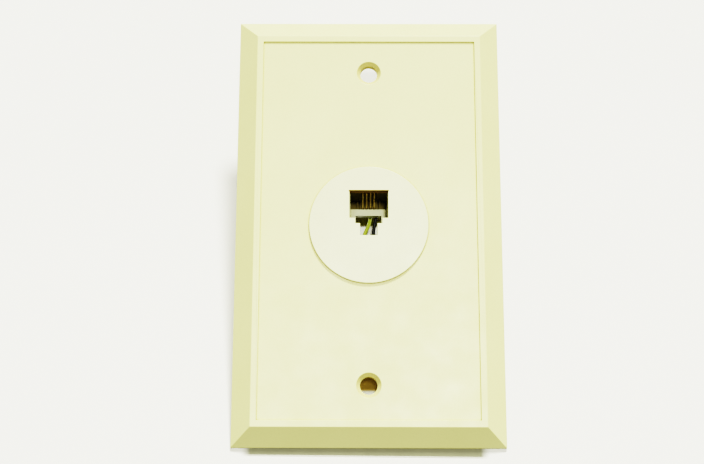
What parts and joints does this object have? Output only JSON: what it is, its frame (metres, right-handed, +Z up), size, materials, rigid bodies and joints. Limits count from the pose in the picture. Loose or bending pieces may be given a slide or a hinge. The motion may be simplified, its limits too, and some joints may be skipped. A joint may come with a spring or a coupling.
{
  "type": "telephone wall plate",
  "caption": "Flush single-gang telephone wall plate: sloped border, recessed panel, countersunk screw holes, round cover with a modular jack, and screw terminals with leads behind.",
  "frame": {"origin": "centre of the plate's back rim, on the plane of the wall", "axes": "+Z up, +Y into the wall, so the plate's face looks along -Y; +X to the right for someone facing the plate"},
  "size_m": [0.0698, 0.018, 0.1142],
  "materials": {
    "ivory_plastic": "satin moulded plastic",
    "pale_ivory_plastic": "satin moulded plastic",
    "grey_ivory_plastic": "satin moulded plastic",
    "gold_wire": "gold-plated spring wire",
    "brass": "bright stamped brass",
    "tinned_brass": "tinned",
    "plated_steel": "zinc plated",
    "black_insulation": "smooth vinyl insulation",
    "red_insulation": "smooth vinyl insulation",
    "green_insulation": "smooth vinyl insulation",
    "yellow_insulation": "smooth vinyl insulation"
  },
  "bodies": {
    "plate": {"wall_plate": "ivory_plastic", "jack_cover": "pale_ivory_plastic", "jack_insert": "grey_ivory_plastic", "lead_retainer": "pale_ivory_plastic", "terminal_base": "ivory_plastic", "base_screw_left": "plated_steel", "base_screw_right": "plated_steel", "contact_tail_1": "gold_wire", "contact_tail_2": "gold_wire", "contact_tail_3": "gold_wire", "contact_tail_4": "gold_wire", "lead_red": "red_insulation", "lead_green": "green_insulation", "lead_yellow": "yellow_insulation", "lead_black": "black_insulation", "terminal_plate_red": "brass", "terminal_plate_green": "brass", "terminal_plate_yellow": "brass", "terminal_plate_black": "brass", "spade_lug_red": "tinned_brass", "spade_lug_green": "tinned_brass", "spade_lug_yellow": "tinned_brass", "spade_lug_black": "tinned_brass"},
    "contact_1": {"contact_spring_1": "gold_wire"},
    "contact_2": {"contact_spring_2": "gold_wire"},
    "contact_3": {"contact_spring_3": "gold_wire"},
    "contact_4": {"contact_spring_4": "gold_wire"},
    "washer_red": {"terminal_washer_red": "brass"},
    "screw_red": {"terminal_screw_red": "brass"},
    "washer_green": {"terminal_washer_green": "brass"},
    "screw_green": {"terminal_screw_green": "brass"},
    "washer_yellow": {"terminal_washer_yellow": "brass"},
    "screw_yellow": {"terminal_screw_yellow": "brass"},
    "washer_black": {"terminal_washer_black": "brass"},
    "screw_black": {"terminal_screw_black": "brass"}
  },
  "joints": [
    {"name": "contact_lift_1", "type": "hinge", "parent": "plate", "child": "contact_1", "pos_m": [-0.00153, -0.00107, 0.00876], "axis": [1, 0, 0], "range_deg": [0, 12], "stiffness_Nm_per_rad": 0.02},
    {"name": "contact_lift_2", "type": "hinge", "parent": "plate", "child": "contact_2", "pos_m": [-0.00051, -0.00107, 0.00876], "axis": [1, 0, 0], "range_deg": [0, 12], "stiffness_Nm_per_rad": 0.02},
    {"name": "contact_lift_3", "type": "hinge", "parent": "plate", "child": "contact_3", "pos_m": [0.00051, -0.00107, 0.00876], "axis": [1, 0, 0], "range_deg": [0, 12], "stiffness_Nm_per_rad": 0.02},
    {"name": "contact_lift_4", "type": "hinge", "parent": "plate", "child": "contact_4", "pos_m": [0.00153, -0.00107, 0.00876], "axis": [1, 0, 0], "range_deg": [0, 12], "stiffness_Nm_per_rad": 0.02},
    {"name": "terminal_slide_red", "type": "slide", "parent": "plate", "child": "washer_red", "axis": [0, 1, 0], "range_m": [0, 0.00397]},
    {"name": "terminal_turn_red", "type": "hinge", "parent": "washer_red", "child": "screw_red", "pos_m": [-0.0165, 0.0081, 0.0115], "axis": [0, 1, 0], "range_deg": [0, 1800]},
    {"name": "terminal_slide_green", "type": "slide", "parent": "plate", "child": "washer_green", "axis": [0, 1, 0], "range_m": [0, 0.00397]},
    {"name": "terminal_turn_green", "type": "hinge", "parent": "washer_green", "child": "screw_green", "pos_m": [0.0165, 0.0081, 0.0115], "axis": [0, 1, 0], "range_deg": [0, 1800]},
    {"name": "terminal_slide_yellow", "type": "slide", "parent": "plate", "child": "washer_yellow", "axis": [0, 1, 0], "range_m": [0, 0.00397]},
    {"name": "terminal_turn_yellow", "type": "hinge", "parent": "washer_yellow", "child": "screw_yellow", "pos_m": [-0.0165, 0.0081, -0.0115], "axis": [0, 1, 0], "range_deg": [0, 1800]},
    {"name": "terminal_slide_black", "type": "slide", "parent": "plate", "child": "washer_black", "axis": [0, 1, 0], "range_m": [0, 0.00397]},
    {"name": "terminal_turn_black", "type": "hinge", "parent": "washer_black", "child": "screw_black", "pos_m": [0.0165, 0.0081, -0.0115], "axis": [0, 1, 0], "range_deg": [0, 1800]}
  ],
  "couplings": [
    {"joint": "terminal_turn_red", "follows": "terminal_slide_red", "rad_per_m": 7915.8},
    {"joint": "terminal_turn_green", "follows": "terminal_slide_green", "rad_per_m": 7915.8},
    {"joint": "terminal_turn_yellow", "follows": "terminal_slide_yellow", "rad_per_m": 7915.8},
    {"joint": "terminal_turn_black", "follows": "terminal_slide_black", "rad_per_m": 7915.8}
  ]
}
